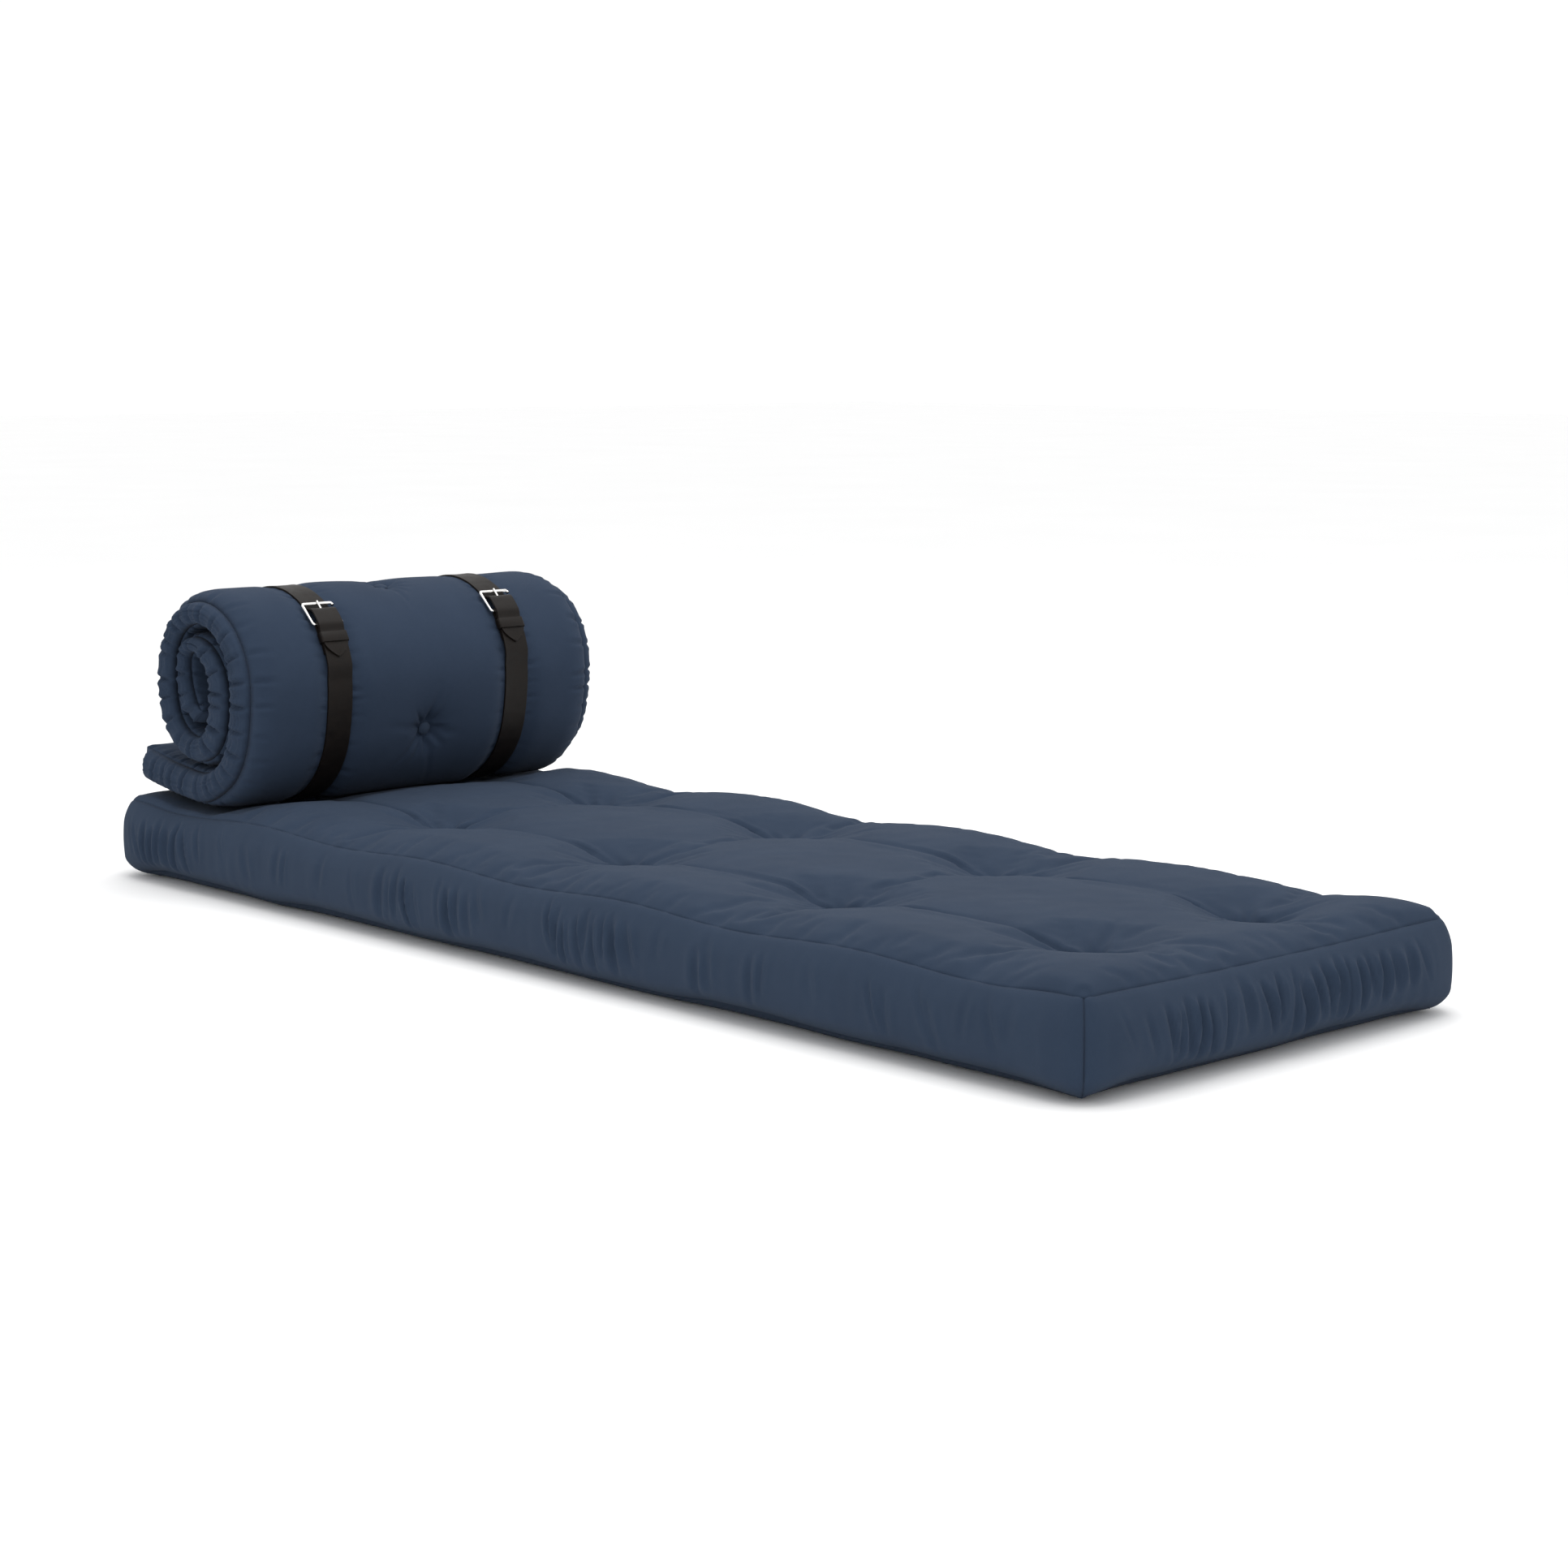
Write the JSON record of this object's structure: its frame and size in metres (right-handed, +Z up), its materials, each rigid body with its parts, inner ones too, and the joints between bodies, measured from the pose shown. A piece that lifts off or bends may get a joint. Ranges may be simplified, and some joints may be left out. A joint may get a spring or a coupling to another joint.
{
  "type": "futon mattress",
  "caption": "Tufted single futon mattress with a thin tufted mat rolled up on its head end, held by two buckled leather belts.",
  "frame": {"origin": "middle of the mattress's underside, on the surface that it lies on", "axes": "+X from the head, where the roll lies, to the foot; +Y to the far side across the mattress; +Z up"},
  "size_m": [2.0298, 0.7296, 0.4589],
  "materials": {
    "cover_fabric": "slate navy cotton twill, matt",
    "mat_fabric": "slate navy cotton twill, matt",
    "button_fabric": "slate navy twill stretched over a button",
    "wadding": "cotton and polyester felt wadding",
    "foam": "open-cell polyurethane foam",
    "twine": "waxed tufting twine",
    "belt_leather": "dark brown full-grain leather, satin",
    "belt_thread": "dark brown bonded thread",
    "buckle_nickel": "bright nickel plate"
  },
  "bodies": {
    "mattress": {"mattress_top_panel": "cover_fabric", "mattress_bottom_panel": "cover_fabric", "mattress_border_near": "cover_fabric", "mattress_border_far": "cover_fabric", "mattress_border_foot": "cover_fabric", "mattress_border_head": "cover_fabric", "mattress_foam_core": "foam", "mattress_wadding_upper": "wadding", "mattress_wadding_lower": "wadding", "mattress_buttons_top": "button_fabric", "mattress_buttons_bottom": "button_fabric", "mattress_tuft_twine": "twine"},
    "roll": {"mat_outer_panel": "mat_fabric", "mat_inner_panel": "mat_fabric", "mat_border_near": "mat_fabric", "mat_border_far": "mat_fabric", "mat_border_free_end": "mat_fabric", "mat_border_core_end": "mat_fabric", "mat_filling": "wadding", "mat_buttons_outer": "button_fabric", "mat_buttons_inner": "button_fabric", "mat_tuft_twine": "twine", "belt_near": "belt_leather", "belt_far": "belt_leather", "belt_thread_near": "belt_thread", "belt_thread_far": "belt_thread"},
    "buckle_near": {"buckle_frame_near": "buckle_nickel"},
    "buckle_far": {"buckle_frame_far": "buckle_nickel"},
    "prong_near": {"buckle_prong_near": "buckle_nickel"},
    "prong_far": {"buckle_prong_far": "buckle_nickel"},
    "keeper_near": {"keeper_near": "belt_leather"},
    "keeper_far": {"keeper_far": "belt_leather"}
  },
  "joints": [
    {"name": "roll_lift", "type": "slide", "parent": "mattress", "child": "roll", "axis": [0, 0, 1], "range_m": [0, 0.5]},
    {"name": "buckle_near_hinge", "type": "hinge", "parent": "roll", "child": "buckle_near", "pos_m": [-0.68476, -0.17, 0.40729], "axis": [0, 1, 0], "range_deg": [0, 4]},
    {"name": "buckle_far_hinge", "type": "hinge", "parent": "roll", "child": "buckle_far", "pos_m": [-0.68476, 0.17, 0.40729], "axis": [0, 1, 0], "range_deg": [0, 4]},
    {"name": "prong_near_hinge", "type": "hinge", "parent": "buckle_near", "child": "prong_near", "pos_m": [-0.68476, -0.17, 0.40729], "axis": [0, 1, 0], "range_deg": [0, 3]},
    {"name": "prong_far_hinge", "type": "hinge", "parent": "buckle_far", "child": "prong_far", "pos_m": [-0.68476, 0.17, 0.40729], "axis": [0, 1, 0], "range_deg": [0, 3]},
    {"name": "keeper_near_slide", "type": "hinge", "parent": "roll", "child": "keeper_near", "pos_m": [-0.80403, -0.17, 0.31411], "axis": [0, 1, 0], "range_deg": [-1, 3]},
    {"name": "keeper_far_slide", "type": "hinge", "parent": "roll", "child": "keeper_far", "pos_m": [-0.80403, 0.17, 0.31411], "axis": [0, 1, 0], "range_deg": [-1, 3]}
  ]
}
